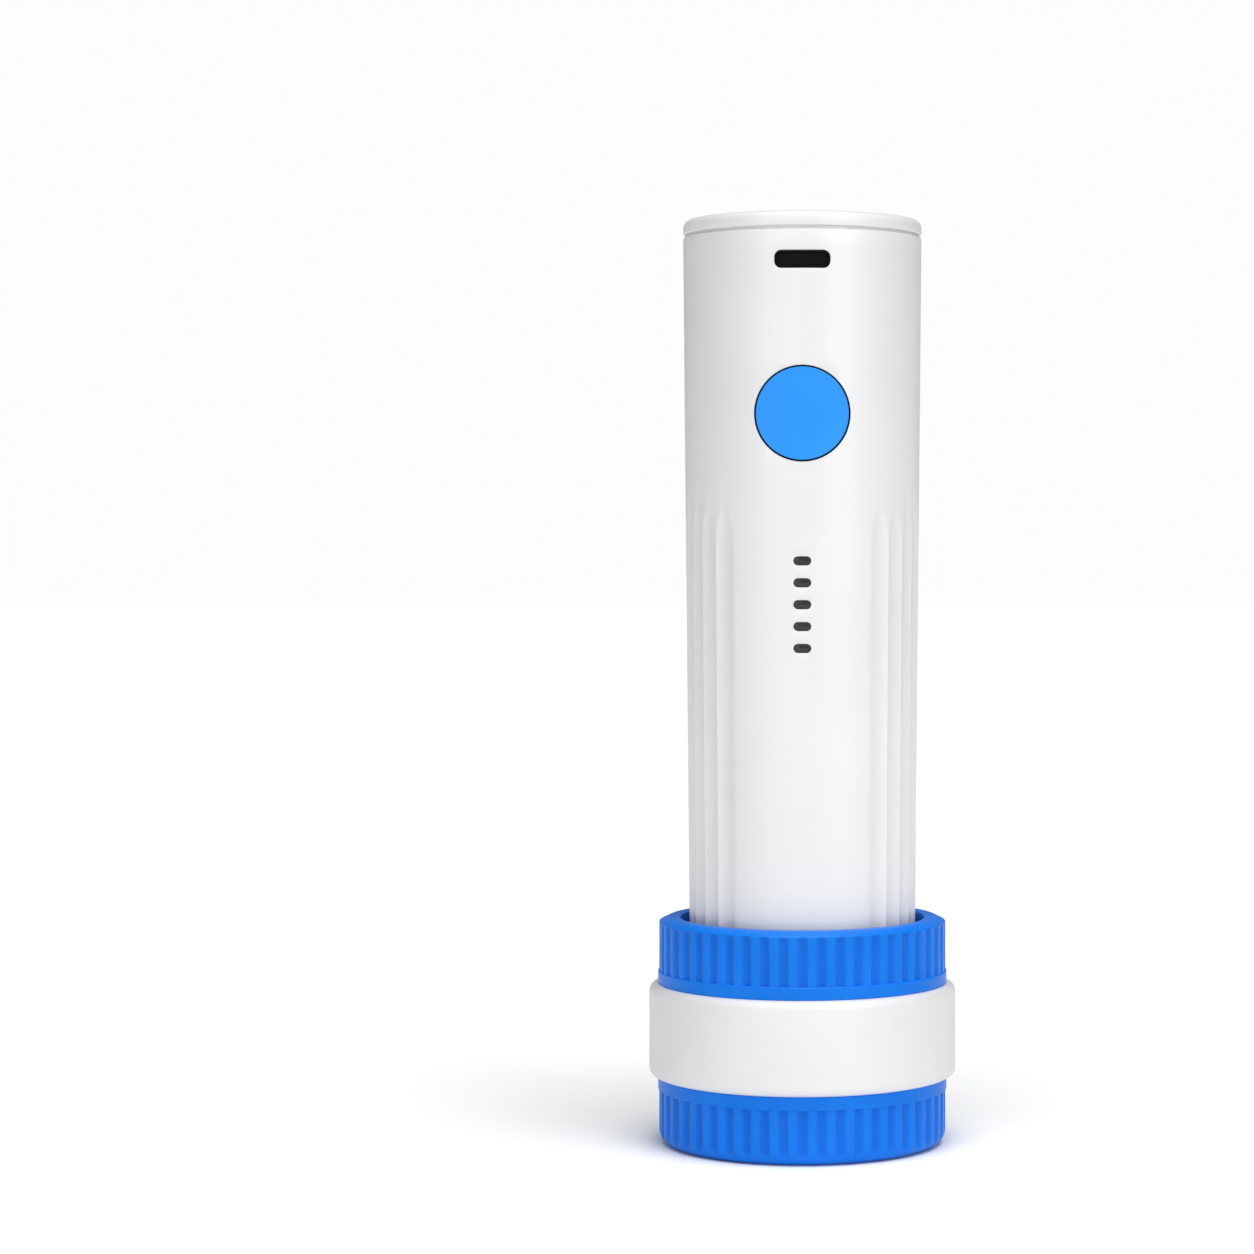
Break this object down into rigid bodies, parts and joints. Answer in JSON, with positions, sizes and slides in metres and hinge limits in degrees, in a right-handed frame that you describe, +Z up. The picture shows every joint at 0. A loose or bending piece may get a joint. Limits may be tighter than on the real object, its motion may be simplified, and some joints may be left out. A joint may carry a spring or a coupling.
{
  "type": "electric wine opener",
  "caption": "Cordless wine opener with a fluted tapered body, motor-driven worm and blue push button, standing in a docking cup on a foil cutter.",
  "frame": {"origin": "on the table, under the opener's axis", "axes": "+Z up along the opener's axis, -Y towards the push button and the charging slot"},
  "size_m": [0.0642, 0.0642, 0.193],
  "materials": {
    "body_white": "satin pearl",
    "band_white": "satin",
    "grip_blue": "satin",
    "button_blue": "satin",
    "dark_plastic": "gloss",
    "grey_plastic": "matt",
    "light_plastic": "matt",
    "lens": "smoked clear",
    "rubber": "matt",
    "steel": "bright",
    "zinc": "zinc plated",
    "cast_metal": "cast",
    "sintered": "sintered",
    "bronze": "sintered bronze",
    "gear_plastic": "matt",
    "magnet": "ferrite",
    "board_green": "solder mask",
    "cell_wrap": "shrink wrap",
    "led_body": "gloss"
  },
  "bodies": {
    "foil_cutter": {"cutter_ring": "grip_blue", "cutter_cover": "grey_plastic", "cutter_pins": "steel", "cutter_screws": "zinc"},
    "wheel_1": {"cutting_wheel_1": "steel"},
    "wheel_2": {"cutting_wheel_2": "steel"},
    "wheel_3": {"cutting_wheel_3": "steel"},
    "wheel_4": {"cutting_wheel_4": "steel"},
    "stand": {"docking_cup": "grip_blue", "stand_band": "band_white", "docking_pad": "rubber"},
    "opener": {"housing": "body_white", "top_cap": "body_white", "cap_disc": "dark_plastic", "mouth_ring": "grey_plastic", "bottle_guide": "light_plastic", "lip_bumper": "rubber", "guide_screws": "zinc", "gear_deck": "cast_metal", "output_bush": "bronze", "ring_gear": "sintered", "motor_plate": "cast_metal", "case_screws": "zinc", "motor_screws": "zinc", "motor_can": "steel", "motor_end_cap": "dark_plastic", "motor_magnets": "magnet", "motor_terminals": "bronze", "battery_cradle": "grey_plastic", "battery_cell_left": "cell_wrap", "battery_cell_right": "cell_wrap", "battery_tabs": "steel", "control_board": "board_green", "board_screws": "zinc", "tact_switch": "dark_plastic", "indicator_leds": "led_body", "indicator_lenses": "lens", "charge_board": "board_green", "usb_shell": "steel", "usb_tongue": "dark_plastic", "port_bezel": "dark_plastic"},
    "push_button": {"button": "button_blue", "switch_plunger": "grey_plastic"},
    "worm_drive": {"worm": "steel", "worm_collar": "sintered", "output_carrier": "sintered"},
    "planet_b1": {"output_planet_1": "bronze"},
    "planet_b2": {"output_planet_2": "bronze"},
    "planet_b3": {"output_planet_3": "bronze"},
    "carrier_a": {"input_carrier": "sintered"},
    "planet_a1": {"input_planet_1": "gear_plastic"},
    "planet_a2": {"input_planet_2": "gear_plastic"},
    "planet_a3": {"input_planet_3": "gear_plastic"},
    "rotor": {"motor_shaft": "steel", "armature": "sintered", "motor_sun": "bronze"}
  },
  "joints": [
    {"name": "stand_lift", "type": "slide", "parent": "foil_cutter", "child": "stand", "axis": [0, 0, 1], "range_m": [0, 0.03]},
    {"name": "wheel_1_spin", "type": "hinge", "parent": "foil_cutter", "child": "wheel_1", "pos_m": [0.01414, 0.01414, 0.0046], "axis": [0, 0, 1], "continuous": true},
    {"name": "wheel_2_spin", "type": "hinge", "parent": "foil_cutter", "child": "wheel_2", "pos_m": [-0.01414, 0.01414, 0.0046], "axis": [0, 0, 1], "continuous": true},
    {"name": "wheel_3_spin", "type": "hinge", "parent": "foil_cutter", "child": "wheel_3", "pos_m": [-0.01414, -0.01414, 0.0046], "axis": [0, 0, 1], "continuous": true},
    {"name": "wheel_4_spin", "type": "hinge", "parent": "foil_cutter", "child": "wheel_4", "pos_m": [0.01414, -0.01414, 0.0046], "axis": [0, 0, 1], "continuous": true},
    {"name": "opener_lift", "type": "slide", "parent": "stand", "child": "opener", "axis": [0, 0, 1], "range_m": [0, 0.12]},
    {"name": "button_press", "type": "slide", "parent": "opener", "child": "push_button", "axis": [0, 1, 0], "range_m": [0, 0.0008], "stiffness_N_per_m": 1200},
    {"name": "worm_spin", "type": "hinge", "parent": "opener", "child": "worm_drive", "pos_m": [0, 0, 0.06], "axis": [0, 0, 1], "continuous": true},
    {"name": "planet_b1_spin", "type": "hinge", "parent": "worm_drive", "child": "planet_b1", "pos_m": [0.009, 0, 0.095], "axis": [0, 0, 1], "continuous": true},
    {"name": "planet_b2_spin", "type": "hinge", "parent": "worm_drive", "child": "planet_b2", "pos_m": [-0.0045, 0.00779, 0.095], "axis": [0, 0, 1], "continuous": true},
    {"name": "planet_b3_spin", "type": "hinge", "parent": "worm_drive", "child": "planet_b3", "pos_m": [-0.0045, -0.00779, 0.095], "axis": [0, 0, 1], "continuous": true},
    {"name": "carrier_a_spin", "type": "hinge", "parent": "opener", "child": "carrier_a", "pos_m": [0, 0, 0.1], "axis": [0, 0, 1], "continuous": true},
    {"name": "planet_a1_spin", "type": "hinge", "parent": "carrier_a", "child": "planet_a1", "pos_m": [0.009, 0, 0.103], "axis": [0, 0, 1], "continuous": true},
    {"name": "planet_a2_spin", "type": "hinge", "parent": "carrier_a", "child": "planet_a2", "pos_m": [-0.0045, 0.00779, 0.103], "axis": [0, 0, 1], "continuous": true},
    {"name": "planet_a3_spin", "type": "hinge", "parent": "carrier_a", "child": "planet_a3", "pos_m": [-0.0045, -0.00779, 0.103], "axis": [0, 0, 1], "continuous": true},
    {"name": "rotor_spin", "type": "hinge", "parent": "opener", "child": "rotor", "pos_m": [0, 0, 0.12], "axis": [0, 0, 1], "continuous": true}
  ],
  "couplings": [
    {"joint": "carrier_a_spin", "follows": "worm_spin", "ratio": 5},
    {"joint": "rotor_spin", "follows": "worm_spin", "ratio": 25},
    {"joint": "planet_b1_spin", "follows": "worm_spin", "ratio": -2.6667},
    {"joint": "planet_b2_spin", "follows": "worm_spin", "ratio": -2.6667},
    {"joint": "planet_b3_spin", "follows": "worm_spin", "ratio": -2.6667},
    {"joint": "planet_a1_spin", "follows": "worm_spin", "ratio": -13.333},
    {"joint": "planet_a2_spin", "follows": "worm_spin", "ratio": -13.333},
    {"joint": "planet_a3_spin", "follows": "worm_spin", "ratio": -13.333}
  ]
}
